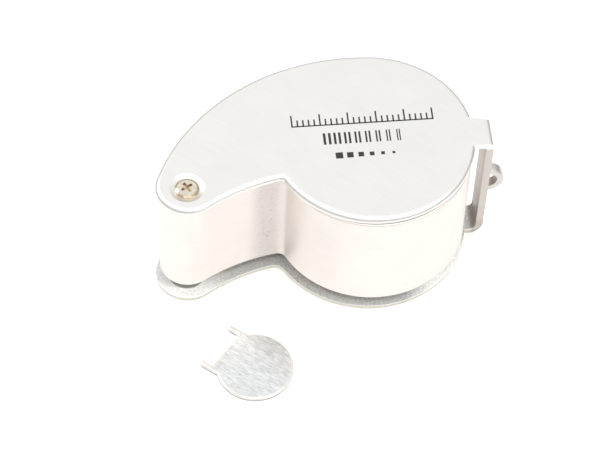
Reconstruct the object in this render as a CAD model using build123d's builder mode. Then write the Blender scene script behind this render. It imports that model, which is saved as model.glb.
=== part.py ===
from build123d import *
from math import atan2, cos, degrees, hypot, radians, sin, sqrt
import os

os.makedirs("parts", exist_ok=True)

# Folding viewing loupe, in millimetres. A lit two-lens drum swings out of a bent metal cover.
# The origin is on the pivot axis at the underside of the cover, with +Z up through the screw.
# +X runs along the loupe to the strap eye, and the hollow side of the comma outline faces -Y.

# Cover: two comma-shaped plates joined by a narrow bridge.
COVER_H = 27.6          # overall height over both plates
PLATE_T = 1.2           # sheet thickness of the plates and the bridge
TAIL_X = 0.22           # centre of the small round end
TAIL_Y = 0.64
TAIL_R = 5.74
DRUM_X = 33.38          # centre of the large round end
DRUM_Y = 8.75
DRUM_R = 18.20
BACK_R = 39.40          # long bulging side, tangent to both round ends
FRONT_R = 34.70         # hollow side, tangent to the small end
FRONT_ANGLE = -56.8     # direction of the tangent point on the small end, in degrees
BRIDGE_Y = 8.13         # middle of the bridge
BRIDGE_W = 5.60
BRIDGE_X = 54.65        # outer face of the bridge
BRIDGE_T = 1.30
TAB_BACK = 11.70        # back edge of the tab where it leaves the large round end
BRIDGE_TAPER = 0.60     # how much narrower the bridge is at its lower end
TOP_BEND_R = 1.1        # outside radius of the bend under the top plate
LOW_BEND_R = 2.9        # outside radius of the bend over the bottom plate
RIM_R = 0.95            # rounding of the plates' outer edges
LOW_RIM_R = 0.50
TOP_NOTCH_R = 1.0       # rounding of the inner corner, top plate
LOW_NOTCH_R = 2.0       # rounding of the inner corner, bottom plate

# Lens body, which swings on the pivot post.
SKEW = -1.7             # how far the body is turned out of line with the cover at rest
BODY_INSET = 0.76       # body wall behind the plate edge
WALL_T = 1.5
BODY_LOW = 4.1          # lower edge of the metal wall
BODY_TOP = 26.1
ROOF_T = 1.6
FOOT_Z = 1.8            # underside of the base cover
FOOT_TOP = 4.9
FOOT_INSET = 2.36

# Pivot.
POST_R = 2.00
PIVOT_BORE_R = 2.05
PIVOT_BOSS_R = 3.40
RIVET_R = 1.60
SCREW_R = 1.00
HEAD_R = 2.18
HEAD_H = 0.20           # above the top plate
SPOT_R = 3.10           # dished seat round the screw
SPOT_DEPTH = 0.42
RECESS_TURN = 30.0      # how the cross recess happens to stand, in degrees

# Optics, all on the drum axis.
LENS_BORE_R = 12.70
LENS_TUBE_R = 14.00
LENS_R = 12.60
EYE_R = 11.60           # clear opening in the roof of the body
LENS_EDGE = 2.20
SPACER_H = 2.60
RETAINER_H = 1.90
VIEW_R = 12.00          # clear radius of the viewing tunnel
LIGHT_Z = 10.80

# Battery bay, beside the drum.
CELL_X = 8.66
CELL_Y = 8.23
CELL_R = 5.80
CELL_H = 3.05
BAY_R = 5.95
BAY_TUBE_R = 7.10
BAY_TOP = 17.0
CAP_HEAD_R = 6.60
PIN_R = 0.75            # two key holes in the battery cap
PIN_SPACING = 8.95

# Base cover screws.
BACK_SCREW_X = 15.66
BACK_SCREW_Y = 16.93
FRONT_SCREW_X = 16.56
FRONT_SCREW_Y = 5.63
SCREW_BOSS_R = 1.80
SMALL_HEAD_R = 1.40

# Strap eye on the bridge, a half-round loop centred on the bridge's face.
EYE_LOOP_R = 3.05
EYE_HOLE_R = 1.75
EYE_T = 1.90
EYE_Y = 8.15
EYE_Z = 14.20

# Two-prong key, loose beside the loupe.
KEY_X = 10.45
KEY_Y = -20.45
KEY_R = 6.85
KEY_T = 1.00
KEY_ANGLE = 141.6       # direction in which the prongs point
KEY_FLAT = 6.30         # edge between the prongs, out from the centre
KEY_TIP = 8.50
KEY_PRONG_W = 1.05


def bearing(start, end):
    """Direction from one point to another, in degrees."""
    return degrees(atan2(end[1] - start[1], end[0] - start[0]))


def on_circle(centre, radius, angle):
    """Point on a circle at an angle in degrees."""
    return (centre[0] + radius * cos(radians(angle)), centre[1] + radius * sin(radians(angle)))


def crossing(first, first_r, second, second_r, side):
    """Where two circles cross, on the left (+1) or the right (-1) going from first to second."""
    apart = hypot(second[0] - first[0], second[1] - first[1])
    along = (first_r ** 2 - second_r ** 2 + apart ** 2) / (2 * apart)
    across = side * sqrt(first_r ** 2 - along ** 2)
    ux = (second[0] - first[0]) / apart
    uy = (second[1] - first[1]) / apart
    return (first[0] + along * ux - across * uy, first[1] + along * uy + across * ux)


TAIL = (TAIL_X, TAIL_Y)
DRUM = (DRUM_X, DRUM_Y)
BACK = crossing(TAIL, BACK_R - TAIL_R, DRUM, BACK_R - DRUM_R, -1)
FRONT = on_circle(TAIL, FRONT_R + TAIL_R, FRONT_ANGLE)


def notch_point(inset):
    """Inner corner of the outline, where the hollow side meets the large round end."""
    return crossing(FRONT, FRONT_R + inset, DRUM, DRUM_R - inset, 1)


def comma_outline(inset):
    """Closed comma outline of four arcs, drawn a given distance inside the plate edge."""
    notch = notch_point(inset)
    back_tail = bearing(BACK, TAIL)
    back_drum = bearing(BACK, DRUM)
    tail_start = on_circle(TAIL, TAIL_R - inset, back_tail)
    tail_middle = on_circle(TAIL, TAIL_R - inset, (back_tail + FRONT_ANGLE + 360) / 2)
    tail_end = on_circle(TAIL, TAIL_R - inset, FRONT_ANGLE)
    front_tail = FRONT_ANGLE + 180
    front_notch = bearing(FRONT, notch)
    front_middle = on_circle(FRONT, FRONT_R + inset, (front_tail + front_notch) / 2)
    drum_notch = bearing(DRUM, notch)
    drum_middle = on_circle(DRUM, DRUM_R - inset, (drum_notch + back_drum) / 2)
    drum_end = on_circle(DRUM, DRUM_R - inset, back_drum)
    back_middle = on_circle(BACK, BACK_R - inset, (back_drum + back_tail) / 2)
    ThreePointArc(tail_start, tail_middle, tail_end)
    ThreePointArc(tail_end, front_middle, notch)
    ThreePointArc(notch, drum_middle, drum_end)
    ThreePointArc(drum_end, back_middle, tail_start)


def swing_level(height):
    """Horizontal plane at a height, turned about the pivot with the lens body."""
    turn = (cos(radians(SKEW)), sin(radians(SKEW)), 0)
    return Plane(origin=(0, 0, height), x_dir=turn, z_dir=(0, 0, 1))


def swing_point(x, y):
    """Row position of a point given in the lens body's own layout."""
    c = cos(radians(SKEW))
    s = sin(radians(SKEW))
    return (x * c - y * s, x * s + y * c)


def swing_section(x, y):
    """Upright plane through a point of the lens body, for turned shapes."""
    at = swing_point(x, y)
    across = (cos(radians(SKEW)), sin(radians(SKEW)), 0)
    facing = (sin(radians(SKEW)), -cos(radians(SKEW)), 0)
    return Plane(origin=(at[0], at[1], 0), x_dir=across, z_dir=facing)


def swing_axis(x, y):
    """Upright axis through a point of the lens body."""
    at = swing_point(x, y)
    return Axis((at[0], at[1], 0), (0, 0, 1))


def dome_height(sag, reach):
    """Height left of a spherical dome of the given sag, half way out to its edge."""
    ball = (reach ** 2 + sag ** 2) / (2 * sag)
    return sqrt(ball ** 2 - reach ** 2 / 4) - (ball - sag)


def nearest(vertices, point):
    """The vertex closest to a point in plan."""
    return min(vertices, key=lambda v: hypot(v.X - point[0], v.Y - point[1]))


# ---------------------------------------------------------------- cover

notch = notch_point(0)
bridge_front = BRIDGE_Y - BRIDGE_W / 2
bridge_front_low = bridge_front + BRIDGE_TAPER
bridge_back = BRIDGE_Y + BRIDGE_W / 2
bridge_inside = BRIDGE_X - BRIDGE_T


def tab_outline(front):
    """Tab that joins a plate to the bridge, narrowing a little towards the bend."""
    Line((DRUM_X, front), (BRIDGE_X, front))
    Line((BRIDGE_X, front), (BRIDGE_X, bridge_back))
    Line((BRIDGE_X, bridge_back), (bridge_inside, bridge_back))
    Line((bridge_inside, bridge_back), (DRUM_X + DRUM_R - 1.2, TAB_BACK))
    Line((DRUM_X + DRUM_R - 1.2, TAB_BACK), (DRUM_X, TAB_BACK))
    Line((DRUM_X, TAB_BACK), (DRUM_X, front))


# The cover is one strip: a top plate, a bridge folded down at the far end, and a bottom plate.
with BuildPart() as cover:
    with BuildSketch(Plane.XY.offset(COVER_H - PLATE_T)) as top_outline:
        with BuildLine():
            comma_outline(0)
        make_face()
        fillet(nearest(top_outline.vertices(), notch), TOP_NOTCH_R)
        with BuildLine():
            tab_outline(bridge_front)
        make_face()
    extrude(amount=PLATE_T)
    with BuildSketch(Plane.XY) as low_outline:
        with BuildLine():
            comma_outline(0)
        make_face()
        fillet(nearest(low_outline.vertices(), notch), LOW_NOTCH_R)
        with BuildLine():
            tab_outline(bridge_front_low)
        make_face()
    extrude(amount=PLATE_T)
    with BuildSketch(Plane(origin=(bridge_inside, 0, 0), x_dir=(0, 1, 0), z_dir=(1, 0, 0))):
        with BuildLine():
            Line((bridge_front_low, 0), (bridge_back, 0))
            Line((bridge_back, 0), (bridge_back, COVER_H))
            Line((bridge_back, COVER_H), (bridge_front, COVER_H))
            Line((bridge_front, COVER_H), (bridge_front, COVER_H - 4.0))
            Line((bridge_front, COVER_H - 4.0), (bridge_front_low, 4.0))
            Line((bridge_front_low, 4.0), (bridge_front_low, 0))
        make_face()
    extrude(amount=BRIDGE_T)
    outer_bends = cover.edges().filter_by(Axis.Y)
    outer_bends = outer_bends.filter_by_position(Axis.X, BRIDGE_X - 0.01, BRIDGE_X + 0.01)
    fillet(outer_bends.sort_by(Axis.Z)[-1], TOP_BEND_R)
    fillet(outer_bends.sort_by(Axis.Z)[0], LOW_BEND_R)
    inner_bends = cover.edges().filter_by(Axis.Y)
    inner_bends = inner_bends.filter_by_position(Axis.X, bridge_inside - 0.01, bridge_inside + 0.01)
    inner_bends = inner_bends.filter_by_position(Axis.Z, PLATE_T - 0.01, COVER_H - PLATE_T + 0.01)
    fillet(inner_bends.sort_by(Axis.Z)[-1], 0.35)
    fillet(inner_bends.sort_by(Axis.Z)[0], LOW_BEND_R - BRIDGE_T)
    rim_top = cover.edges().filter_by(GeomType.CIRCLE)
    rim_top = rim_top.filter_by_position(Axis.Z, COVER_H - 0.01, COVER_H + 0.01)
    fillet(rim_top, RIM_R)
    rim_low = cover.edges().filter_by(GeomType.CIRCLE).filter_by_position(Axis.Z, -0.01, 0.01)
    fillet(rim_low, LOW_RIM_R)
    # Dished seat and clearance hole for the pivot screw.
    with BuildSketch(Plane.XY.offset(COVER_H)):
        Circle(SPOT_R)
    extrude(amount=-SPOT_DEPTH, taper=62, mode=Mode.SUBTRACT)
    with BuildSketch(Plane.XY.offset(COVER_H)):
        Circle(SCREW_R + 0.10)
    extrude(amount=-PLATE_T, mode=Mode.SUBTRACT)
    # Hole for the riveted foot of the pivot post.
    with BuildSketch(Plane.XY):
        Circle(RIVET_R)
    extrude(amount=PLATE_T, mode=Mode.SUBTRACT)
    # Holes for the strap eye's two pegs.
    with BuildSketch(Plane(origin=(BRIDGE_X, EYE_Y, EYE_Z), x_dir=(0, 1, 0), z_dir=(1, 0, 0))):
        with Locations((0, 2.4), (0, -2.4)):
            Circle(0.45)
    extrude(amount=-BRIDGE_T, mode=Mode.SUBTRACT)
cover.part.label = "cover"
export_step(cover.part, "parts/cover.step")

# Half-round eye for a cord, with two pegs riveted through the bridge.
with BuildPart() as strap_eye:
    with BuildSketch(Plane(origin=(BRIDGE_X, EYE_Y - EYE_T / 2, EYE_Z), x_dir=(1, 0, 0), z_dir=(0, -1, 0))):
        Circle(EYE_LOOP_R)
        Circle(EYE_HOLE_R, mode=Mode.SUBTRACT)
        with Locations((-EYE_LOOP_R, 0)):
            Rectangle(2 * EYE_LOOP_R, 2 * EYE_LOOP_R, mode=Mode.SUBTRACT)
    extrude(amount=-EYE_T)
    eye_rim = strap_eye.edges().filter_by(GeomType.CIRCLE)
    fillet(eye_rim, 0.25)
    with BuildSketch(Plane(origin=(BRIDGE_X, EYE_Y, EYE_Z), x_dir=(0, 1, 0), z_dir=(1, 0, 0))):
        with Locations((0, 2.4), (0, -2.4)):
            Circle(0.45)
    extrude(amount=-BRIDGE_T)
strap_eye.part.label = "strap_eye"
export_step(strap_eye.part, "parts/strap_eye.step")

# ---------------------------------------------------------------- pivot

# Tubular post, riveted flush into the bottom plate and tapped for the screw.
with BuildPart() as pivot_post:
    with BuildSketch(Plane.XY):
        Circle(RIVET_R)
    extrude(amount=PLATE_T)
    with BuildSketch(Plane.XY.offset(PLATE_T)):
        Circle(POST_R)
    extrude(amount=COVER_H - 2 * PLATE_T)
    with BuildSketch(Plane.XY.offset(COVER_H - PLATE_T)):
        Circle(SCREW_R)
    extrude(amount=-9.0, mode=Mode.SUBTRACT)
pivot_post.part.label = "pivot_post"
export_step(pivot_post.part, "parts/pivot_post.step")

# Pan-head screw with a cross recess, which clamps the top plate to the post.
head_low = COVER_H - SPOT_DEPTH
with BuildPart() as pivot_screw:
    with BuildSketch(Plane.XY.offset(head_low)):
        Circle(HEAD_R)
    extrude(amount=HEAD_H + SPOT_DEPTH)
    fillet(pivot_screw.edges().group_by(Axis.Z)[-1], 0.42)
    with BuildSketch(Plane.XY.offset(head_low)):
        Circle(SCREW_R)
    extrude(amount=-8.0)
    with BuildSketch(Plane.XY.offset(COVER_H + HEAD_H)):
        Rectangle(2.7, 0.72, rotation=RECESS_TURN)
        Rectangle(0.72, 2.7, rotation=RECESS_TURN)
    extrude(amount=-0.45, taper=14, mode=Mode.SUBTRACT)
pivot_screw.part.label = "pivot_screw"
export_step(pivot_screw.part, "parts/pivot_screw.step")

# Nylon friction washers above and below the swinging body.
with BuildPart() as upper_washer:
    with BuildSketch(Plane.XY.offset(BODY_TOP + 0.02)):
        Circle(3.2)
        Circle(POST_R + 0.02, mode=Mode.SUBTRACT)
    extrude(amount=COVER_H - PLATE_T - BODY_TOP - 0.02)
upper_washer.part.label = "upper_washer"
export_step(upper_washer.part, "parts/upper_washer.step")

with BuildPart() as lower_washer:
    with BuildSketch(Plane.XY.offset(PLATE_T)):
        Circle(3.2)
        Circle(POST_R + 0.02, mode=Mode.SUBTRACT)
    extrude(amount=FOOT_Z - PLATE_T - 0.02)
lower_washer.part.label = "lower_washer"
export_step(lower_washer.part, "parts/lower_washer.step")

# ---------------------------------------------------------------- lens body

roof_low = BODY_TOP - ROOF_T

# Cast body: comma wall and roof, with tubes inside for the lenses, the cells and the pivot.
with BuildPart() as body_shell:
    with BuildSketch(swing_level(BODY_LOW)) as wall_outline:
        with BuildLine():
            comma_outline(BODY_INSET)
        make_face()
        fillet(nearest(wall_outline.vertices(), notch_point(BODY_INSET)), 1.6)
    extrude(amount=BODY_TOP - BODY_LOW)
    fillet(body_shell.edges().group_by(Axis.Z)[-1], 0.40)
    chamfer(body_shell.edges().group_by(Axis.Z)[0], 0.12)
    with BuildSketch(swing_level(BODY_LOW)):
        with BuildLine():
            comma_outline(BODY_INSET + WALL_T)
        make_face()
    extrude(amount=roof_low - BODY_LOW, mode=Mode.SUBTRACT)
    # Lens tube.
    with BuildSketch(swing_level(FOOT_TOP)):
        with Locations(DRUM):
            Circle(LENS_TUBE_R)
    extrude(amount=roof_low - FOOT_TOP + 0.2)
    # Battery tube, closed at its top.
    with BuildSketch(swing_level(FOOT_TOP)):
        with Locations((CELL_X, CELL_Y)):
            Circle(BAY_TUBE_R)
        with BuildLine():
            comma_outline(BODY_INSET + 0.5)
        make_face(mode=Mode.INTERSECT)
    extrude(amount=BAY_TOP + 1.0 - FOOT_TOP)
    # Pivot boss and the solid tail foot round it.
    with BuildSketch(swing_level(FOOT_Z)):
        Circle(PIVOT_BOSS_R)
    extrude(amount=roof_low - FOOT_Z + 0.2)
    with BuildSketch(swing_level(FOOT_Z)):
        with BuildLine():
            comma_outline(FOOT_INSET)
        make_face()
        Circle(4.40, mode=Mode.INTERSECT)
    extrude(amount=BODY_LOW + 1.4 - FOOT_Z)
    # Bosses for the base cover screws.
    with BuildSketch(swing_level(FOOT_TOP)):
        with Locations((BACK_SCREW_X, BACK_SCREW_Y), (FRONT_SCREW_X, FRONT_SCREW_Y)):
            Circle(SCREW_BOSS_R)
    extrude(amount=roof_low - FOOT_TOP + 0.2)
    # Bores.
    with BuildSketch(swing_level(FOOT_Z)):
        with Locations(DRUM):
            Circle(LENS_BORE_R)
    extrude(amount=roof_low - FOOT_Z, mode=Mode.SUBTRACT)
    with BuildSketch(swing_level(roof_low)):
        with Locations(DRUM):
            Circle(EYE_R)
    extrude(amount=ROOF_T, mode=Mode.SUBTRACT)
    with BuildSketch(swing_level(BODY_TOP)):
        with Locations(DRUM):
            Circle(13.4)
    extrude(amount=-0.70, mode=Mode.SUBTRACT)
    with BuildSketch(swing_level(FOOT_TOP)):
        with Locations((CELL_X, CELL_Y)):
            Circle(BAY_R)
    extrude(amount=BAY_TOP - FOOT_TOP, mode=Mode.SUBTRACT)
    with BuildSketch(swing_level(FOOT_Z)):
        Circle(PIVOT_BORE_R)
    extrude(amount=BODY_TOP - FOOT_Z, mode=Mode.SUBTRACT)
    with BuildSketch(swing_level(FOOT_TOP)):
        with Locations((BACK_SCREW_X, BACK_SCREW_Y), (FRONT_SCREW_X, FRONT_SCREW_Y)):
            Circle(0.80)
    extrude(amount=7.0, mode=Mode.SUBTRACT)
    # Hole for the lamp through the lens tube, and a slot for the battery contact.
    lamp_at = swing_point(DRUM_X - 10.0, DRUM_Y)
    outward = (-cos(radians(SKEW)), -sin(radians(SKEW)), 0)
    with BuildSketch(Plane(origin=(lamp_at[0], lamp_at[1], LIGHT_Z), x_dir=(0, 0, 1), z_dir=outward)):
        Circle(1.55)
    extrude(amount=5.0, mode=Mode.SUBTRACT)
    with BuildSketch(swing_level(BAY_TOP - 0.9)):
        with Locations((14.76, 10.33)):
            Rectangle(3.6, 2.4)
    extrude(amount=0.9, mode=Mode.SUBTRACT)
body_shell.part.label = "body_shell"
export_step(body_shell.part, "parts/body_shell.step")

# Moulded base cover, which closes the underside of the body.
with BuildPart() as base_cover:
    with BuildSketch(swing_level(FOOT_Z)):
        with BuildLine():
            comma_outline(FOOT_INSET)
        make_face()
        Circle(4.50, mode=Mode.SUBTRACT)
        with Locations(DRUM):
            Circle(LENS_BORE_R, mode=Mode.SUBTRACT)
        with Locations((CELL_X, CELL_Y)):
            Circle(BAY_R, mode=Mode.SUBTRACT)
        with Locations((BACK_SCREW_X, BACK_SCREW_Y), (FRONT_SCREW_X, FRONT_SCREW_Y)):
            Circle(0.90, mode=Mode.SUBTRACT)
    extrude(amount=FOOT_TOP - FOOT_Z)
    with BuildSketch(swing_level(FOOT_Z)):
        with Locations(DRUM):
            Circle(13.6)
    extrude(amount=0.80, mode=Mode.SUBTRACT)
    with BuildSketch(swing_level(FOOT_Z)):
        with Locations((CELL_X, CELL_Y)):
            Circle(CAP_HEAD_R + 0.09)
    extrude(amount=1.90, mode=Mode.SUBTRACT)
    with BuildSketch(swing_level(FOOT_Z)):
        with Locations((BACK_SCREW_X, BACK_SCREW_Y), (FRONT_SCREW_X, FRONT_SCREW_Y)):
            Circle(SMALL_HEAD_R + 0.05)
    extrude(amount=1.10, mode=Mode.SUBTRACT)
base_cover.part.label = "base_cover"
export_step(base_cover.part, "parts/base_cover.step")

# Two small screws that hold the base cover.
with BuildPart() as base_screws:
    with BuildSketch(swing_level(FOOT_Z + 0.10)):
        with Locations((BACK_SCREW_X, BACK_SCREW_Y), (FRONT_SCREW_X, FRONT_SCREW_Y)):
            Circle(SMALL_HEAD_R)
    extrude(amount=1.00)
    with BuildSketch(swing_level(FOOT_Z + 1.10)):
        with Locations((BACK_SCREW_X, BACK_SCREW_Y), (FRONT_SCREW_X, FRONT_SCREW_Y)):
            Circle(0.80)
    extrude(amount=7.5)
    with BuildSketch(swing_level(FOOT_Z + 0.10)):
        with Locations((BACK_SCREW_X, BACK_SCREW_Y), (FRONT_SCREW_X, FRONT_SCREW_Y)):
            Rectangle(1.9, 0.45)
            Rectangle(0.45, 1.9)
    extrude(amount=0.55, mode=Mode.SUBTRACT)
base_screws.part.label = "base_screws"
export_step(base_screws.part, "parts/base_screws.step")

# ---------------------------------------------------------------- optics

lens_axis = swing_axis(DRUM_X, DRUM_Y)
upper_high = roof_low
upper_low = upper_high - LENS_EDGE
lower_high = upper_low - SPACER_H
lower_low = lower_high - LENS_EDGE
retainer_low = lower_low - RETAINER_H

# Dark ring round the eyepiece, set into the roof of the body.
with BuildPart() as eyepiece_ring:
    with BuildSketch(swing_level(BODY_TOP - 0.70)):
        with Locations(DRUM):
            Circle(13.4)
            Circle(EYE_R, mode=Mode.SUBTRACT)
    extrude(amount=0.80)
    ring_top = eyepiece_ring.edges().group_by(Axis.Z)[-1]
    chamfer(ring_top.sort_by(SortBy.RADIUS)[0], 0.55)
eyepiece_ring.part.label = "eyepiece_ring"
export_step(eyepiece_ring.part, "parts/eyepiece_ring.step")

# Upper lens, convex on both sides.
with BuildPart() as upper_lens:
    with BuildSketch(swing_section(DRUM_X, DRUM_Y)):
        with BuildLine():
            Line((0, upper_low - 1.0), (0, upper_high + 1.3))
            ThreePointArc((0, upper_high + 1.3), (EYE_R / 2, upper_high + dome_height(1.3, EYE_R)), (EYE_R, upper_high))
            Line((EYE_R, upper_high), (LENS_R, upper_high))
            Line((LENS_R, upper_high), (LENS_R, upper_low))
            Line((LENS_R, upper_low), (EYE_R, upper_low))
            ThreePointArc((EYE_R, upper_low), (EYE_R / 2, upper_low - dome_height(1.0, EYE_R)), (0, upper_low - 1.0))
        make_face()
    revolve(axis=lens_axis)
upper_lens.part.label = "upper_lens"
export_step(upper_lens.part, "parts/upper_lens.step")

# Ring that keeps the two lenses apart.
with BuildPart() as lens_spacer:
    with BuildSketch(swing_level(lower_high)):
        with Locations(DRUM):
            Circle(LENS_R)
            Circle(EYE_R, mode=Mode.SUBTRACT)
    extrude(amount=SPACER_H)
lens_spacer.part.label = "lens_spacer"
export_step(lens_spacer.part, "parts/lens_spacer.step")

# Lower lens, convex on both sides.
with BuildPart() as lower_lens:
    with BuildSketch(swing_section(DRUM_X, DRUM_Y)):
        with BuildLine():
            Line((0, lower_low - 1.2), (0, lower_high + 1.0))
            ThreePointArc((0, lower_high + 1.0), (EYE_R / 2, lower_high + dome_height(1.0, EYE_R)), (EYE_R, lower_high))
            Line((EYE_R, lower_high), (LENS_R, lower_high))
            Line((LENS_R, lower_high), (LENS_R, lower_low))
            Line((LENS_R, lower_low), (EYE_R, lower_low))
            ThreePointArc((EYE_R, lower_low), (EYE_R / 2, lower_low - dome_height(1.2, EYE_R)), (0, lower_low - 1.2))
        make_face()
    revolve(axis=lens_axis)
lower_lens.part.label = "lower_lens"
export_step(lower_lens.part, "parts/lower_lens.step")

# Threaded ring under the lower lens, with two slots for a tool.
with BuildPart() as lens_retainer:
    with BuildSketch(swing_level(retainer_low)):
        with Locations(DRUM):
            Circle(LENS_BORE_R - 0.05)
            Circle(EYE_R, mode=Mode.SUBTRACT)
    extrude(amount=RETAINER_H)
    with BuildSketch(swing_level(retainer_low)):
        with Locations(DRUM):
            Rectangle(1.2, 27.0)
    extrude(amount=0.70, mode=Mode.SUBTRACT)
lens_retainer.part.label = "lens_retainer"
export_step(lens_retainer.part, "parts/lens_retainer.step")

# White liner of the viewing tunnel, with a hole for the lamp.
with BuildPart() as reflector:
    with BuildSketch(swing_level(6.0)):
        with Locations(DRUM):
            Circle(LENS_BORE_R - 0.05)
            Circle(VIEW_R, mode=Mode.SUBTRACT)
    extrude(amount=retainer_low - 6.0)
    with BuildSketch(Plane(origin=(lamp_at[0], lamp_at[1], LIGHT_Z), x_dir=(0, 0, 1), z_dir=outward)):
        Circle(1.55)
    extrude(amount=5.0, mode=Mode.SUBTRACT)
reflector.part.label = "reflector"
export_step(reflector.part, "parts/reflector.step")

# Flanged ring at the foot of the tunnel, screwed up through the base cover into the lens tube.
with BuildPart() as aperture_ring:
    with BuildSketch(swing_level(FOOT_Z)):
        with Locations(DRUM):
            Circle(13.6)
            Circle(VIEW_R, mode=Mode.SUBTRACT)
    extrude(amount=0.80)
    with BuildSketch(swing_level(FOOT_Z + 0.80)):
        with Locations(DRUM):
            Circle(LENS_BORE_R - 0.05)
            Circle(VIEW_R, mode=Mode.SUBTRACT)
    extrude(amount=6.0 - FOOT_Z - 0.80)
aperture_ring.part.label = "aperture_ring"
export_step(aperture_ring.part, "parts/aperture_ring.step")

# ---------------------------------------------------------------- lamp and board

board_x = 16.56
board_t = 0.8
lamp_back = 18.26
board_y = 11.03
board_at = swing_point(board_x, board_y)
inward = (cos(radians(SKEW)), sin(radians(SKEW)), 0)
lamp_plane = Plane(origin=(*swing_point(lamp_back, DRUM_Y), LIGHT_Z), x_dir=(0, 0, 1), z_dir=inward)

# Small lamp: flange, round body with a domed nose, and two leads soldered through the board.
with BuildPart() as lamp:
    with BuildSketch(lamp_plane):
        Circle(1.80)
    extrude(amount=0.80)
    with BuildSketch(lamp_plane.offset(0.80)):
        Circle(1.50)
    extrude(amount=2.20)
    fillet(lamp.edges().filter_by(GeomType.CIRCLE).sort_by(Axis.X)[-1], 1.2)
    with BuildSketch(lamp_plane):
        with Locations((0, -0.8), (0, 0.8)):
            Circle(0.25)
    extrude(amount=board_x - lamp_back - 0.3)
lamp.part.label = "lamp"
export_step(lamp.part, "parts/lamp.step")

# Upright circuit board between the battery tube and the lens tube.
with BuildPart() as circuit_board:
    with BuildSketch(Plane(origin=(*board_at, 12.5), x_dir=(0, 0, 1), z_dir=inward)):
        Rectangle(12.0, 6.8)
        with Locations((LIGHT_Z - 12.5, board_y - DRUM_Y - 0.8), (LIGHT_Z - 12.5, board_y - DRUM_Y + 0.8)):
            Circle(0.30, mode=Mode.SUBTRACT)
    extrude(amount=board_t)
circuit_board.part.label = "circuit_board"
export_step(circuit_board.part, "parts/circuit_board.step")

# Chip resistor on the face of the board.
resistor_at = swing_point(board_x + board_t, 11.33)
with BuildPart() as resistor:
    with BuildSketch(Plane(origin=(*resistor_at, 15.8), x_dir=(0, 0, 1), z_dir=inward)):
        Rectangle(3.2, 1.6)
    extrude(amount=0.60)
resistor.part.label = "resistor"
export_step(resistor.part, "parts/resistor.step")

# ---------------------------------------------------------------- battery bay

# Brass contact under the roof of the bay, with a tongue that reaches the board.
with BuildPart() as contact_plate:
    with BuildSketch(swing_level(BAY_TOP - 0.40)):
        with Locations((CELL_X, CELL_Y)):
            Circle(4.80)
        with Locations((12.76, 10.33)):
            Rectangle(7.5, 2.0)
    extrude(amount=0.30)
contact_plate.part.label = "contact_plate"
export_step(contact_plate.part, "parts/contact_plate.step")

cells_low = 5.3
cells_high = cells_low + 3 * CELL_H + 0.10
spring_top = BAY_TOP - 0.45

# Dished spring washer that presses on the stack of cells.
with BuildPart() as contact_spring:
    with BuildSketch(swing_section(CELL_X, CELL_Y)):
        with BuildLine():
            Line((1.2, cells_high + 0.05), (4.6, spring_top - 0.35))
            Line((4.6, spring_top - 0.35), (4.6, spring_top))
            Line((4.6, spring_top), (1.2, cells_high + 0.40))
            Line((1.2, cells_high + 0.40), (1.2, cells_high + 0.05))
        make_face()
    revolve(axis=swing_axis(CELL_X, CELL_Y))
contact_spring.part.label = "contact_spring"
export_step(contact_spring.part, "parts/contact_spring.step")

# Three button cells in a stack.
with BuildPart() as button_cells:
    for number in range(3):
        cell_low = cells_low + number * (CELL_H + 0.05)
        with BuildSketch(swing_level(cell_low)):
            with Locations((CELL_X, CELL_Y)):
                Circle(CELL_R - 0.7)
        extrude(amount=CELL_H)
        with BuildSketch(swing_level(cell_low + 0.5)):
            with Locations((CELL_X, CELL_Y)):
                Circle(CELL_R)
        extrude(amount=CELL_H - 0.5)
button_cells.part.label = "button_cells"
export_step(button_cells.part, "parts/button_cells.step")

# Battery cap with two holes for the key. The plug above its head carries the bayonet.
with BuildPart() as battery_cap:
    with BuildSketch(swing_level(FOOT_Z)):
        with Locations((CELL_X, CELL_Y)):
            Circle(CAP_HEAD_R)
    extrude(amount=1.10)
    with BuildSketch(swing_level(FOOT_Z + 1.10)):
        with Locations((CELL_X, CELL_Y)):
            Circle(BAY_R - 0.06)
    extrude(amount=2.30)
    with BuildSketch(swing_level(FOOT_Z)):
        with Locations((CELL_X, CELL_Y - PIN_SPACING / 2), (CELL_X, CELL_Y + PIN_SPACING / 2)):
            Circle(PIN_R)
    extrude(amount=1.60, mode=Mode.SUBTRACT)
battery_cap.part.label = "battery_cap"
export_step(battery_cap.part, "parts/battery_cap.step")

# Rubber seal between the cap's head and the base cover.
with BuildPart() as cap_seal:
    with BuildSketch(swing_level(FOOT_Z + 1.13)):
        with Locations((CELL_X, CELL_Y)):
            Circle(CAP_HEAD_R + 0.05)
            Circle(BAY_R - 0.01, mode=Mode.SUBTRACT)
    extrude(amount=0.74)
cap_seal.part.label = "cap_seal"
export_step(cap_seal.part, "parts/cap_seal.step")

# ---------------------------------------------------------------- key

# Flat two-prong key for the battery cap, lying loose on the table beside the loupe.
key_dir = (cos(radians(KEY_ANGLE)), sin(radians(KEY_ANGLE)), 0)
key_plane = Plane(origin=(KEY_X, KEY_Y, 0), x_dir=key_dir, z_dir=(0, 0, 1))
prong_out = PIN_SPACING / 2 + KEY_PRONG_W / 2
prong_end = KEY_TIP - KEY_PRONG_W / 2
with BuildPart() as spanner_key:
    with BuildSketch(key_plane):
        Circle(KEY_R)
        with Locations((KEY_FLAT / 2, 0)):
            Rectangle(KEY_FLAT, 2 * prong_out)
        with Locations((KEY_FLAT + 5.0, 0)):
            Rectangle(10.0, 14.0, mode=Mode.SUBTRACT)
        with Locations((prong_end - 2.5, -PIN_SPACING / 2), (prong_end - 2.5, PIN_SPACING / 2)):
            Rectangle(5.0, KEY_PRONG_W)
        with Locations((prong_end, -PIN_SPACING / 2), (prong_end, PIN_SPACING / 2)):
            Circle(KEY_PRONG_W / 2)
    extrude(amount=KEY_T)
spanner_key.part.label = "spanner_key"
export_step(spanner_key.part, "parts/spanner_key.step")
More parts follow.
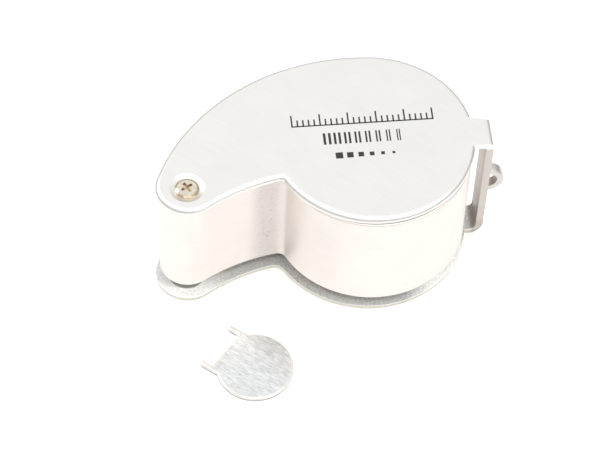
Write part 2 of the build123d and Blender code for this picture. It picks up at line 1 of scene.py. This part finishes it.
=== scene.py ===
from math import cos, radians, sin

import bmesh
import bpy
from mathutils import Matrix, Vector


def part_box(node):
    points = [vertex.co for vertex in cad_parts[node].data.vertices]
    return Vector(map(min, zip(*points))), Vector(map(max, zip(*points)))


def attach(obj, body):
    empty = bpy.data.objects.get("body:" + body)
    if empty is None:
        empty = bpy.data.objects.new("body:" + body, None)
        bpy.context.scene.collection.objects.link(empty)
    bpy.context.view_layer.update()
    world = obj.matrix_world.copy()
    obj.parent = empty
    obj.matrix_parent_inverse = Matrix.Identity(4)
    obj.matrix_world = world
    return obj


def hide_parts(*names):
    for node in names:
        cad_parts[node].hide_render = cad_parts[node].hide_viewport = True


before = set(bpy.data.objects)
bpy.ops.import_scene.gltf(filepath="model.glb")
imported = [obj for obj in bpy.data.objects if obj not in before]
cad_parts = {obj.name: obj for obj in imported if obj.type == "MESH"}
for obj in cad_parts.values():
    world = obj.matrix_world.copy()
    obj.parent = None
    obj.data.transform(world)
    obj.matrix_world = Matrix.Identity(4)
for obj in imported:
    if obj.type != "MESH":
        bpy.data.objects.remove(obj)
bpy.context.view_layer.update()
mm = 0.001

# ---------------------------------------------------------------------------
# Camera. A long lens looks down at the folded loupe from its hollow side, with
# the strap eye to the right and the key in front.
view_turn = radians(-8.353)
view_tilt = radians(54.338)
view_roll = radians(-3.127)
look_at = Vector((19.52, 5.45, 10.0)) * mm
view_distance = 538.4 * mm
view_right = 1.296 * mm
view_down = 1.878 * mm

back = Vector((sin(view_turn) * cos(view_tilt), -cos(view_turn) * cos(view_tilt), sin(view_tilt)))
level = Vector((cos(view_turn), sin(view_turn), 0.0))
upright = back.cross(level)
right = cos(view_roll) * level - sin(view_roll) * upright
up = sin(view_roll) * level + cos(view_roll) * upright

lens = bpy.data.cameras.new("camera")
lens.sensor_width = 36.0
lens.lens = 179.89
lens.clip_start = 0.01
lens.clip_end = 20.0
camera = bpy.data.objects.new("camera", lens)
bpy.context.collection.objects.link(camera)
place = Matrix((right, up, back)).transposed().to_4x4()
place.translation = look_at + view_distance * back + view_right * right - view_down * up
camera.matrix_world = place
bpy.context.scene.camera = camera


# ---------------------------------------------------------------------------
# Floor and light. A white table top under a white tent, with soft lamps round
# it and a dark band round the table that only polished metal mirrors.
def shaped_object(name, shape):
    """Puts a finished shape into the scene as an object."""
    data = bpy.data.meshes.new(name)
    shape.to_mesh(data)
    shape.free()
    piece = bpy.data.objects.new(name, data)
    bpy.context.collection.objects.link(piece)
    return piece


def node_material(name):
    """A new material, its node tree and its shader."""
    finish = bpy.data.materials.new(name)
    finish.use_nodes = True
    return finish, finish.node_tree, finish.node_tree.nodes["Principled BSDF"]


def staging(piece, name, colour, rough, glow=0.0):
    """Makes an object a part of the staging, in an even colour without gloss."""
    surface, _, shader = node_material(name)
    shader.inputs["Base Color"].default_value = (*colour, 1.0)
    shader.inputs["Roughness"].default_value = rough
    shader.inputs["Specular IOR Level"].default_value = 0.0
    shader.inputs["Emission Color"].default_value = (1.0, 1.0, 1.0, 1.0)
    shader.inputs["Emission Strength"].default_value = glow
    piece.data.materials.append(surface)


floor_half = 1.5
floor_shape = bmesh.new()
bmesh.ops.create_grid(floor_shape, x_segments=1, y_segments=1, size=floor_half)
floor = shaped_object("floor", floor_shape)
staging(floor, "table top", (0.90, 0.90, 0.90), 0.9, glow=0.42)

band_inner = 0.095
band_outer = 1.2
band_height = 0.30
band_clear = 0.0005
band_shape = bmesh.new()
bmesh.ops.create_cone(
    band_shape, cap_ends=False, segments=96, radius1=band_inner, radius2=band_outer, depth=band_height,
    matrix=Matrix.Translation((0.022, 0.0, band_height / 2 + band_clear)),
)
dark_band = shaped_object("dark_band", band_shape)
dark_band.visible_camera = False
dark_band.visible_diffuse = False
dark_band.visible_shadow = False
dark_band.visible_transmission = False
staging(dark_band, "dark cloth", (0.42, 0.40, 0.365), 1.0)

tent = bpy.data.worlds.new("white tent")
tent.use_nodes = True
bpy.context.scene.world = tent
sky = tent.node_tree.nodes["Background"]
sky.inputs["Color"].default_value = (1.0, 0.997, 0.992, 1.0)
sky.inputs["Strength"].default_value = 1.0
bpy.context.scene.view_settings.view_transform = "Standard"
lamp_target = Vector((0.03, 0.0, 0.0))


def soft_lamp(name, spot, width, watts):
    """A square lamp that faces the loupe and shows only in gloss."""
    data = bpy.data.lights.new(name, "AREA")
    data.shape = "SQUARE"
    data.size = width
    data.energy = watts
    lamp = bpy.data.objects.new(name, data)
    lamp.location = spot
    lamp.rotation_euler = (lamp_target - Vector(spot)).to_track_quat("-Z", "Y").to_euler()
    lamp.visible_diffuse = False
    bpy.context.collection.objects.link(lamp)
    return lamp


soft_lamp("key lamp", (-0.55, 0.32, 0.50), 0.4, 1.6)
soft_lamp("fill lamp", (0.50, -0.45, 0.40), 0.4, 0.8)
soft_lamp("ceiling lamp", (0.03, -0.42, 0.80), 0.7, 1.6)

# Two low lamps reach in under the drum, and light only the matt ends of the bottom plate.
matt_plate = bpy.data.collections.new("matt plate")
matt_plate.objects.link(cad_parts["cover"])
for side, x, watts in (("right", 0.50, 5.5), ("left", -0.45, 1.2)):
    low_lamp = soft_lamp(side + " low lamp", (x, -0.22, 0.10), 0.2, watts)
    low_lamp.visible_diffuse = True
    low_lamp.visible_glossy = False
    low_lamp.light_linking.receiver_collection = matt_plate


# ---------------------------------------------------------------------------
# Body shell. A die-cast light alloy housing, painted in satin pearl silver: a
# round lens drum with a tail that turns on the pivot.
def feed(tree, socket, value):
    """Sets a socket to a number or a colour, or links another node's output to it."""
    if isinstance(value, bpy.types.NodeSocket):
        tree.links.new(value, socket)
    else:
        socket.default_value = value


def place_on(tree):
    """The place on the piece, as coordinates."""
    return tree.nodes.new("ShaderNodeTexCoord").outputs["Object"]


def moved(tree, spot, shift=(0.0, 0.0, 0.0), turn=0.0, scale=(1.0, 1.0, 1.0)):
    """Coordinates shifted, turned about the upright axis or stretched."""
    mapping = tree.nodes.new("ShaderNodeMapping")
    mapping.inputs["Location"].default_value = shift
    mapping.inputs["Rotation"].default_value = (0.0, 0.0, radians(turn))
    mapping.inputs["Scale"].default_value = scale
    tree.links.new(spot, mapping.inputs["Vector"])
    return mapping.outputs["Vector"]


def grain(tree, spot, scale, detail=2.0, roughness=0.5, distortion=0.0):
    """Random grain, from 0 to 1."""
    noise = tree.nodes.new("ShaderNodeTexNoise")
    noise.inputs["Scale"].default_value = scale
    noise.inputs["Detail"].default_value = detail
    noise.inputs["Roughness"].default_value = roughness
    noise.inputs["Distortion"].default_value = distortion
    tree.links.new(spot, noise.inputs["Vector"])
    return noise.outputs["Fac"]


def ramp(tree, value, start, end, low=0.0, high=1.0, kind="LINEAR"):
    """Goes from low to high as a value goes from start to end, and is level beyond both."""
    slope = tree.nodes.new("ShaderNodeMapRange")
    slope.interpolation_type = kind
    slope.inputs["From Min"].default_value = start
    slope.inputs["From Max"].default_value = end
    slope.inputs["To Min"].default_value = low
    slope.inputs["To Max"].default_value = high
    tree.links.new(value, slope.inputs["Value"])
    return slope.outputs["Result"]


def maths(tree, operation, *values):
    """One step of arithmetic on values or numbers."""
    result = tree.nodes.new("ShaderNodeMath")
    result.operation = operation
    for socket, value in zip(result.inputs, values):
        feed(tree, socket, value)
    return result.outputs["Value"]


def axis_distance(tree, spot, shift=(0.0, 0.0, 0.0)):
    """How far a place is from an upright axis."""
    length = tree.nodes.new("ShaderNodeVectorMath")
    length.operation = "LENGTH"
    tree.links.new(moved(tree, spot, shift, scale=(1.0, 1.0, 0.0)), length.inputs[0])
    return length.outputs["Value"]


def apart(tree, spot):
    """The outputs X, Y and Z of some coordinates."""
    axes = tree.nodes.new("ShaderNodeSeparateXYZ")
    tree.links.new(spot, axes.inputs["Vector"])
    return axes.outputs


def tinted(tree, colour, tint, amount=1.0):
    """A colour multiplied by a tint, as far as the amount says."""
    mix = tree.nodes.new("ShaderNodeMix")
    mix.data_type = "RGBA"
    mix.blend_type = "MULTIPLY"
    feed(tree, mix.inputs["Factor"], amount)
    feed(tree, mix.inputs["A"], colour)
    feed(tree, mix.inputs["B"], tint)
    return mix.outputs["Result"]


def between(tree, first, second, amount):
    """A number that goes from the first to the second as the amount goes from 0 to 1."""
    mix = tree.nodes.new("ShaderNodeMix")
    feed(tree, mix.inputs["Factor"], amount)
    feed(tree, mix.inputs["A"], first)
    feed(tree, mix.inputs["B"], second)
    return mix.outputs["Result"]


def two_tone(tree, value, colour, tint, start, end):
    """A colour that grain makes a little darker and lighter."""
    shade = tree.nodes.new("ShaderNodeValToRGB")
    shade.color_ramp.elements[0].position = start
    shade.color_ramp.elements[1].position = end
    shade.color_ramp.elements[0].color = (*[c * (1.0 - tint) for c in colour], 1.0)
    shade.color_ramp.elements[1].color = (*[min(1.0, c * (1.0 + tint)) for c in colour], 1.0)
    tree.links.new(value, shade.inputs["Fac"])
    return shade.outputs["Color"]


def surface_relief(tree, shader, value, depth):
    """Raises the surface by grain, for a fixed small height."""
    bump = tree.nodes.new("ShaderNodeBump")
    bump.inputs["Strength"].default_value = depth
    bump.inputs["Distance"].default_value = 0.02 * mm
    tree.links.new(value, bump.inputs["Height"])
    tree.links.new(bump.outputs["Normal"], shader.inputs["Normal"])


def metal(name, colour, rough, streak, turn=0.0, depth=0.15, tint=0.04, blotch=0.02):
    """Worked metal: fine streaks in colour, gloss and surface over slow, broad patches."""
    finish, tree, shader = node_material(name)
    shader.inputs["Metallic"].default_value = 1.0
    where = place_on(tree)
    drawn = moved(tree, moved(tree, where, turn=-turn), scale=streak)
    streaks = grain(tree, drawn, 1.0, detail=4.0, roughness=0.6)
    patches = grain(tree, where, 140.0)
    shade = two_tone(tree, streaks, colour, tint, 0.32, 0.68)
    cloudy = ramp(tree, patches, 0.3, 0.7, 1.0 - blotch, 1.0)
    feed(tree, shader.inputs["Base Color"], tinted(tree, shade, cloudy))
    feed(tree, shader.inputs["Roughness"], ramp(tree, streaks, 0.0, 1.0, rough - 0.06, rough + 0.06))
    surface_relief(tree, shader, streaks, depth)
    return finish


def fed_by(shader, socket):
    """What feeds a socket of a shader now."""
    return shader.inputs[socket].links[0].from_socket


def finish_node(node, material):
    """Gives a part of the frame its finish."""
    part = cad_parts[node]
    part.data.materials.clear()
    part.data.materials.append(material)


body_metal = metal(
    "body alloy", (0.893, 0.838, 0.80), 0.46, streak=(150.0, 150.0, 5000.0),
    depth=0.10, tint=0.02, blotch=0.03,
)
finish_node("body_shell", body_metal)

# Painted shade in the hollow corner, with pits there in the paint, and painted shade on the
# foot of the tail below the wall.
tree = body_metal.node_tree
shader = tree.nodes["Principled BSDF"]
where = place_on(tree)
hollow_corner = Vector((14.4, 1.0, 0.0)) * mm
corner_reach = axis_distance(tree, where, -hollow_corner)
painted_corner_shade = ramp(tree, corner_reach, 0.5 * mm, 4.2 * mm, 0.80, 1.0, "SMOOTHSTEP")
pits = ramp(tree, grain(tree, where, 2600.0, detail=3.0), 0.60, 0.70, 1.0, 0.72)
pitted = between(tree, 1.0, pits, ramp(tree, corner_reach, 1.5 * mm, 3.5 * mm, 1.0, 0.0))
painted_foot_shade = ramp(tree, apart(tree, where)["Z"], 4.05 * mm, 4.20 * mm, 0.28, 1.0)
pits_and_painted_shade = maths(tree, "MULTIPLY", maths(tree, "MULTIPLY", painted_corner_shade, pitted), painted_foot_shade)
feed(tree, shader.inputs["Base Color"], tinted(tree, fed_by(shader, "Base Color"), pits_and_painted_shade))


# ---------------------------------------------------------------------------
# Lenses. Two domed glass elements 25 mm across, ground and polished, with a
# thin anti-reflection coat and the dust and wipe marks of use.
def glass(name, colour, rough):
    """Clear moulded or ground glass with faint wipe marks."""
    finish, tree, shader = node_material(name)
    shader.inputs["Base Color"].default_value = (*colour, 1.0)
    shader.inputs["Transmission Weight"].default_value = 1.0
    shader.inputs["IOR"].default_value = 1.52
    shader.inputs["Coat Weight"].default_value = 0.15
    shader.inputs["Coat Tint"].default_value = (0.95, 0.93, 1.0, 1.0)
    wipes = grain(tree, place_on(tree), 260.0, detail=5.0, distortion=1.5)
    feed(tree, shader.inputs["Roughness"], ramp(tree, wipes, 0.45, 0.75, rough, rough + 0.05))
    return finish


lens_glass = glass("lens glass", (0.985, 0.995, 0.985), 0.0)
finish_node("upper_lens", lens_glass)
finish_node("lower_lens", lens_glass)


# ---------------------------------------------------------------------------
# Lens mounts. The eyepiece ring, spacer, retainer and aperture ring are turned
# rings, anodised dull black so that no stray light reaches the eye.
def coated(name, colour, rough, fineness=3000.0, depth=0.2, metallic=0.0, tint=0.15):
    """A dyed, painted or moulded skin with a fine even grain."""
    finish, tree, shader = node_material(name)
    shader.inputs["Metallic"].default_value = metallic
    specks = grain(tree, place_on(tree), fineness)
    feed(tree, shader.inputs["Base Color"], two_tone(tree, specks, colour, tint, 0.35, 0.65))
    feed(tree, shader.inputs["Roughness"], ramp(tree, specks, 0.0, 1.0, rough - 0.08, rough + 0.08))
    surface_relief(tree, shader, specks, depth)
    return finish


black_anodise = coated("black anodised alloy", (0.028, 0.028, 0.032), 0.48, 2500.0, 0.15)
for ring in ("eyepiece_ring", "lens_spacer", "lens_retainer", "aperture_ring"):
    finish_node(ring, black_anodise)

# ---------------------------------------------------------------------------
# Reflector. The white moulded liner of the viewing tunnel, which throws the
# lamp's light down on the thing being looked at.
liner_white = coated("white liner", (0.86, 0.86, 0.84), 0.26, 2500.0, 0.05, tint=0.03)
finish_node("reflector", liner_white)

# ---------------------------------------------------------------------------
# Lamp and circuit board. A clear moulded lamp with its resistor, soldered to
# a small green board that stands beside the battery bay.
lamp_resin = glass("lamp resin", (0.99, 0.985, 0.95), 0.04)
finish_node("lamp", lamp_resin)
board_green = coated("green solder mask", (0.030, 0.150, 0.055), 0.35, 900.0, 0.10, tint=0.25)
finish_node("circuit_board", board_green)
resistor_body = coated("ceramic body", (0.045, 0.045, 0.050), 0.40, 6000.0, 0.10)
finish_node("resistor", resistor_body)

# ---------------------------------------------------------------------------
# Contacts and cells. A sprung brass contact below and a flat brass one above
# hold a stack of three steel button cells.
brass = metal(
    "contact brass", (0.83, 0.66, 0.36), 0.28, turn=30.0, streak=(200.0, 3000.0, 3000.0),
    tint=0.08, blotch=0.10,
)
finish_node("contact_plate", brass)
finish_node("contact_spring", brass)
cell_steel = metal(
    "cell steel", (0.70, 0.69, 0.67), 0.22, streak=(250.0, 250.0, 5200.0),
    tint=0.05, blotch=0.05,
)
finish_node("button_cells", cell_steel)

# ---------------------------------------------------------------------------
# Base cover and its two screws. A lid moulded in silver-grey plastic with a
# satin face, held up by two plated screws, that closes the housing from below.
base_plastic = coated(
    "silver-grey moulding", (0.60, 0.59, 0.575), 0.40, 2500.0, 0.12, metallic=0.5, tint=0.05
)
finish_node("base_cover", base_plastic)
small_steel = metal(
    "small screw steel", (0.62, 0.60, 0.57), 0.26, streak=(500.0, 500.0, 4000.0),
    tint=0.08,
)
finish_node("base_screws", small_steel)

# ---------------------------------------------------------------------------
# Battery cap and seal. A turned alloy plug with two round key holes, and a
# rubber ring under its head that keeps the bay dry.
cap_metal = metal(
    "cap alloy", (0.74, 0.735, 0.72), 0.30, streak=(1500.0, 1500.0, 4000.0),
    depth=0.25, tint=0.06,
)
finish_node("battery_cap", cap_metal)
seal_rubber = coated("seal rubber", (0.020, 0.020, 0.021), 0.62, 4000.0, 0.25)
finish_node("cap_seal", seal_rubber)

# ---------------------------------------------------------------------------
# Cover. One strip of satin metal bent into a top plate, bridge and bottom
# plate, finished with a fine grain that runs slantwise across the plates.
cover_metal = metal(
    "cover metal", (0.872, 0.868, 0.848), 0.38, turn=-40.0, streak=(160.0, 3000.0, 3000.0),
    depth=0.07, tint=0.014, blotch=0.03,
)
finish_node("cover", cover_metal)
tree = cover_metal.node_tree
shader = tree.nodes["Principled BSDF"]
where = place_on(tree)
axes = apart(tree, where)
x, y, z = axes["X"], axes["Y"], axes["Z"]

# The bridge, edges and all, is tinted darker and browner than the plates: painted shade.
bridge_shade_colour = (0.68, 0.635, 0.60, 1.0)
past_bend = ramp(tree, x, 52.3 * mm, 52.9 * mm)
under_plate = ramp(tree, z, 26.2 * mm, 25.8 * mm)
on_bridge = maths(tree, "MULTIPLY", past_bend, under_plate)
shaded_bridge_colour = tinted(tree, fed_by(shader, "Base Color"), bridge_shade_colour, on_bridge)

# The inside of the bottom plate keeps the grit of the blasting, from its face up to the
# level of the drum's lower edge.
gap_middle = 2.6 * mm
gap_half = 1.45 * mm
low_down = maths(tree, "COMPARE", z, gap_middle, gap_half)
grit = ramp(tree, grain(tree, where, 2400.0, detail=3.0), 0.35, 0.65, 0.92, 1.14)
blasted = tinted(tree, shaded_bridge_colour, grit, low_down)
feed(tree, shader.inputs["Roughness"], between(tree, fed_by(shader, "Roughness"), 0.66, low_down))

# It is made matt white at the tail and at the far front corner, which shows lighter there: painted light.
matt_tail = ramp(tree, x, 8.0 * mm, 3.5 * mm)
matt_end = ramp(tree, x, 39.0 * mm, 44.0 * mm)
matt_front = ramp(tree, y, 4.5 * mm, 2.5 * mm)
lit_matt_ends = maths(tree, "MAXIMUM", matt_tail, maths(tree, "MULTIPLY", matt_end, matt_front))
painted_light_matt = maths(tree, "MULTIPLY", lit_matt_ends, low_down)
feed(tree, shader.inputs["Metallic"], maths(tree, "SUBTRACT", 1.0, painted_light_matt))

# Its rim, between the two faces, is tinted darker and a little brown.
brown_rim = (0.74, 0.71, 0.64, 1.0)
rim_middle = 0.52 * mm
rim_half = 0.48 * mm
on_low_rim = maths(tree, "COMPARE", z, rim_middle, rim_half)
feed(tree, shader.inputs["Base Color"], tinted(tree, blasted, brown_rim, on_low_rim))

# ---------------------------------------------------------------------------
# Strap eye. A half-round loop of bent wire stock, riveted through the bridge,
# that takes a neck cord.
eye_metal = metal(
    "eye metal", (0.66, 0.635, 0.60), 0.36, streak=(900.0, 900.0, 900.0),
    depth=0.20, tint=0.06, blotch=0.05,
)
finish_node("strap_eye", eye_metal)

# ---------------------------------------------------------------------------
# Pivot. A steel post riveted to the bottom plate, a thin washer at each end
# of the housing, and a nickelled pan-head screw that draws the strip together.
post_steel = metal("post steel", (0.66, 0.65, 0.63), 0.24, streak=(400.0, 400.0, 5000.0), tint=0.05)
finish_node("pivot_post", post_steel)
washer_nylon = coated("washer nylon", (0.70, 0.69, 0.65), 0.50, 2500.0, 0.10, tint=0.04)
finish_node("upper_washer", washer_nylon)
finish_node("lower_washer", washer_nylon)

screw_low, screw_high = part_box("pivot_screw")
head_r = screw_high.x
head_base = 27.18 * mm
shank_r = 1.0 * mm
recess_reach = 1.42 * mm
slot_length = 2.6 * mm
slot_width = 0.74 * mm
slot_depth = 1.0 * mm

# Painted shade darkens the cross recess and the head's rim.
screw_nickel = metal(
    "screw nickel", (0.80, 0.74, 0.64), 0.14, streak=(1800.0, 1800.0, 1800.0),
    depth=0.30, tint=0.12, blotch=0.10,
)
tree = screw_nickel.node_tree
shader = tree.nodes["Principled BSDF"]
where = place_on(tree)
deep = ramp(tree, apart(tree, where)["Z"], screw_high.z - 0.16 * mm, screw_high.z - 0.34 * mm)
out = axis_distance(tree, where)
in_recess = maths(tree, "MULTIPLY", deep, maths(tree, "LESS_THAN", out, recess_reach))
painted_recess_and_rim_shade = maths(tree, "MAXIMUM", in_recess, ramp(tree, out, 1.66 * mm, 1.80 * mm))
shaded_screw_colour = tinted(tree, fed_by(shader, "Base Color"), (0.66, 0.58, 0.46, 1.0), painted_recess_and_rim_shade)
feed(tree, shader.inputs["Base Color"], shaded_screw_colour)

# The head is the upper half of a squashed ball, drawn in to the shank and down to its end.
head_shape = bmesh.new()
bmesh.ops.create_uvsphere(head_shape, u_segments=72, v_segments=48, radius=head_r)
bmesh.ops.scale(head_shape, vec=(1.0, 1.0, (screw_high.z - head_base) / head_r), verts=head_shape.verts)
bmesh.ops.translate(head_shape, vec=(0.0, 0.0, head_base), verts=head_shape.verts)
bmesh.ops.bisect_plane(
    head_shape, geom=head_shape.verts[:] + head_shape.edges[:] + head_shape.faces[:],
    plane_co=(0.0, 0.0, head_base), plane_no=(0.0, 0.0, -1.0), clear_outer=True,
)


def drawn_edge(shape):
    """Extrudes the open edge of a shape, and gives the new vertices."""
    edges = [e for e in shape.edges if e.is_boundary]
    drawn = bmesh.ops.extrude_edge_only(shape, edges=edges)
    return [g for g in drawn["geom"] if isinstance(g, bmesh.types.BMVert)]


bmesh.ops.scale(head_shape, vec=(shank_r / head_r, shank_r / head_r, 1.0), verts=drawn_edge(head_shape))
bmesh.ops.translate(head_shape, vec=(0.0, 0.0, screw_low.z - head_base), verts=drawn_edge(head_shape))
bmesh.ops.holes_fill(head_shape, edges=[e for e in head_shape.edges if e.is_boundary])
bmesh.ops.recalc_face_normals(head_shape, faces=head_shape.faces)
screw_blank = shaped_object("screw_blank", head_shape)

# The recess is cut by the tip of a cross driver, two tapered bars at right angles.
driver_shape = bmesh.new()
for turn in (30.0, 120.0):
    arm = bmesh.ops.create_cube(driver_shape, size=1.0)["verts"]
    bmesh.ops.scale(driver_shape, vec=(slot_length, slot_width, slot_depth), verts=arm)
    bmesh.ops.scale(driver_shape, vec=(0.72, 0.55, 1.0), verts=[v for v in arm if v.co.z < 0.0])
    bmesh.ops.rotate(driver_shape, cent=(0, 0, 0), matrix=Matrix.Rotation(radians(turn), 3, "Z"), verts=arm)
bmesh.ops.translate(driver_shape, vec=(0.0, 0.0, screw_high.z + 0.04 * mm), verts=driver_shape.verts)
driver_tip = shaped_object("driver_tip", driver_shape)

recess = screw_blank.modifiers.new("recess", "BOOLEAN")
recess.operation = "DIFFERENCE"
recess.solver = "EXACT"
recess.use_self = True
recess.object = driver_tip
bpy.context.view_layer.update()
shown = bpy.context.evaluated_depsgraph_get()
cut_data = bpy.data.meshes.new_from_object(screw_blank.evaluated_get(shown))
bpy.data.objects.remove(screw_blank)
bpy.data.objects.remove(driver_tip)
cut_data.name = "screw_head"
cut_data.polygons.foreach_set("use_smooth", [True] * len(cut_data.polygons))
cut_data.set_sharp_from_angle(angle=radians(30.0))
cut_data.materials.clear()
cut_data.materials.append(screw_nickel)
screw_head = bpy.data.objects.new("screw_head", cut_data)
bpy.context.collection.objects.link(screw_head)
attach(screw_head, "cover")
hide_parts("pivot_screw")

# ---------------------------------------------------------------------------
# Printed marks. Black ink pad-printed on the top plate: a millimetre scale, a
# row of line pairs and a row of squares, in place of any wording.
ink_rise = 0.012
plate_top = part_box("cover")[1].z
scale_x = 19.36
scale_y = 11.63
scale_length = 25
scale_line = 0.28
long_tick = 2.6
short_tick = 1.5
pairs_x = 24.7
pairs_y = 7.43
pair_step = 1.86
bar_height = 2.5
squares_x = 26.5
squares_y = 4.9
square_step = 2.0


def ink_patch(sheet, x, y, wide, tall):
    """One printed patch, its corner at x, y."""
    middle = Vector((x + wide / 2, y + tall / 2, ink_rise / 2)) * mm + Vector((0, 0, plate_top))
    size = Matrix.Diagonal((wide * mm, tall * mm, ink_rise * mm, 1.0))
    bmesh.ops.create_cube(sheet, size=1.0, matrix=Matrix.Translation(middle) @ size)


marks = bmesh.new()
for step in range(scale_length + 1):
    tick = long_tick if step % 5 == 0 else short_tick
    ink_patch(marks, scale_x + step, scale_y, scale_line, tick)
ink_patch(marks, scale_x, scale_y, scale_length + scale_line, 0.26)
for step in range(8):
    wide = 0.46 - 0.035 * step
    ink_patch(marks, pairs_x + pair_step * step, pairs_y, wide, bar_height)
    ink_patch(marks, pairs_x + pair_step * step + 2 * wide, pairs_y, wide, bar_height)
for step in range(6):
    side = 1.30 - 0.16 * step
    ink_patch(marks, squares_x + square_step * step, squares_y - side / 2, side, side)
printed_marks = shaped_object("printed_marks", marks)
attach(printed_marks, "cover")
ink = coated("printing ink", (0.030, 0.026, 0.024), 0.45, 5000.0, 0.15)
printed_marks.data.materials.append(ink)

# ---------------------------------------------------------------------------
# Key. A pressed steel disc with two prongs that fit the battery cap, its face
# coarsely sanded along the prongs and its edges tumbled round.
low_rounding = 0.22 * mm
top_rounding = 0.38 * mm
crease = radians(32.0)
edge_slot = 1
border_slot = 2

# The frame's key is loose triangles, so a copy is joined up and its flats made whole.
key_shape = bmesh.new()
key_shape.from_mesh(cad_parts["spanner_key"].data)
bmesh.ops.remove_doubles(key_shape, verts=key_shape.verts, dist=0.002 * mm)
bmesh.ops.dissolve_limit(
    key_shape, angle_limit=radians(0.5), verts=key_shape.verts, edges=key_shape.edges
)
key_low, key_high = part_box("spanner_key")
corners = [e for e in key_shape.edges if e.calc_face_angle(0.0) > 1.0]
top_rim = [e for e in corners if min(v.co.z for v in e.verts) > key_high.z - 0.01 * mm]
low_rim = [e for e in corners if max(v.co.z for v in e.verts) < key_low.z + 0.01 * mm]
for face in key_shape.faces:
    if abs(face.normal.z) < 0.5:
        face.material_index = edge_slot
bmesh.ops.bevel(
    key_shape, geom=low_rim, offset=low_rounding, offset_type="OFFSET", affect="EDGES", segments=3,
    profile=0.5, material=-1, clamp_overlap=True,
)
bevelled = bmesh.ops.bevel(
    key_shape, geom=[e for e in top_rim if e.is_valid], offset=top_rounding, offset_type="OFFSET",
    affect="EDGES", segments=4, profile=0.5, material=-1, clamp_overlap=True,
)
for face in bevelled["faces"]:
    face.material_index = border_slot
key_disc = shaped_object("key_disc", key_shape)
key_disc.data.polygons.foreach_set("use_smooth", [True] * len(key_disc.data.polygons))
key_disc.data.set_sharp_from_angle(angle=crease)
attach(key_disc, "key")
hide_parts("spanner_key")
key_steel = metal(
    "sanded steel", (0.80, 0.825, 0.84), 0.34, turn=141.6, streak=(850.0, 4600.0, 4600.0),
    depth=0.9, tint=0.22, blotch=0.04,
)
# The sheared sides are darker, as on stamped steel, and darker still as painted shade that draws a grey
# outline round the key.
sheared_edge_and_shade = metal(
    "sheared edge and painted shade", (0.52, 0.495, 0.47), 0.5, streak=(900.0, 900.0, 3000.0),
    depth=0.5, tint=0.15,
)
key_border = metal(
    "tumbled border", (0.86, 0.85, 0.82), 0.38, streak=(900.0, 900.0, 900.0),
    depth=0.2, tint=0.03,
)
for finish in (key_steel, sheared_edge_and_shade, key_border):
    key_disc.data.materials.append(finish)
